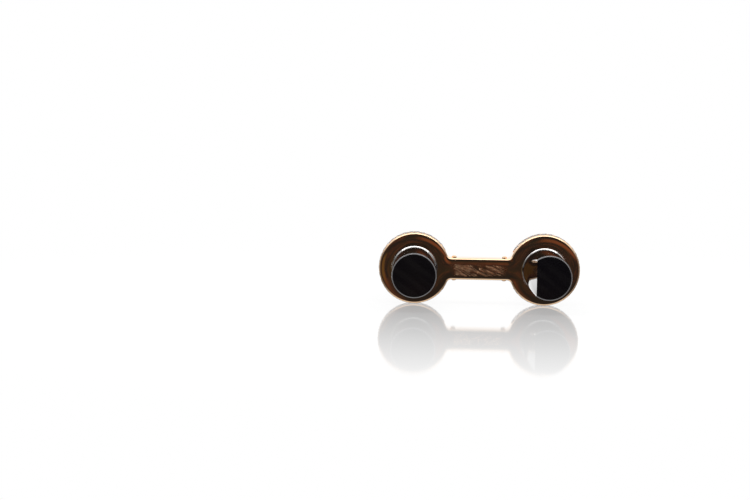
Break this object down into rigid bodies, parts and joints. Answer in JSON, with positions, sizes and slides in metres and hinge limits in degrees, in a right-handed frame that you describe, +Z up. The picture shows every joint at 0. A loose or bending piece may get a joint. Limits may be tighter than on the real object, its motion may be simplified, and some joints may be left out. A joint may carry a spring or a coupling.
{
  "type": "baton cufflink",
  "caption": "Two-sided baton cufflink: stone-set gold collars joined by a hollow bar, each holding a loose black stone baton by a sprung plunger.",
  "frame": {"origin": "middle of the bar, which is the centre of the link's box", "axes": "+X along the bar, +Y along the batons away from the viewer, +Z up as the link lies on a table"},
  "size_m": [0.0256, 0.022, 0.0092],
  "materials": {
    "rose_gold": "mirror polished",
    "polished_steel": "polished",
    "black_onyx": "polished",
    "brilliants": "faceted",
    "steel": "drawn"
  },
  "bodies": {
    "link": {"link_body": "rose_gold", "left_pin": "rose_gold", "right_pin": "rose_gold", "left_bush": "polished_steel", "right_bush": "polished_steel", "left_stones": "brilliants", "right_stones": "brilliants", "plunger_spring": "steel"},
    "left_baton": {"left_baton": "black_onyx"},
    "right_baton": {"right_baton": "black_onyx"},
    "left_plunger": {"left_plunger": "steel"},
    "right_plunger": {"right_plunger": "steel"}
  },
  "joints": [
    {"name": "left_baton_slide", "type": "slide", "parent": "link", "child": "left_baton", "axis": [0, 1, 0], "range_m": [-0.0128, 0.0128]},
    {"name": "right_baton_slide", "type": "slide", "parent": "link", "child": "right_baton", "axis": [0, 1, 0], "range_m": [-0.0128, 0.0128]},
    {"name": "left_plunger_press", "type": "slide", "parent": "link", "child": "left_plunger", "axis": [1, 0, 0], "range_m": [0, 0.0005], "stiffness_N_per_m": 400, "springref_m": -0.0005, "deforming": ["plunger_spring"]},
    {"name": "right_plunger_press", "type": "slide", "parent": "link", "child": "right_plunger", "axis": [-1, 0, 0], "range_m": [0, 0.0005], "stiffness_N_per_m": 400, "springref_m": -0.0005}
  ]
}
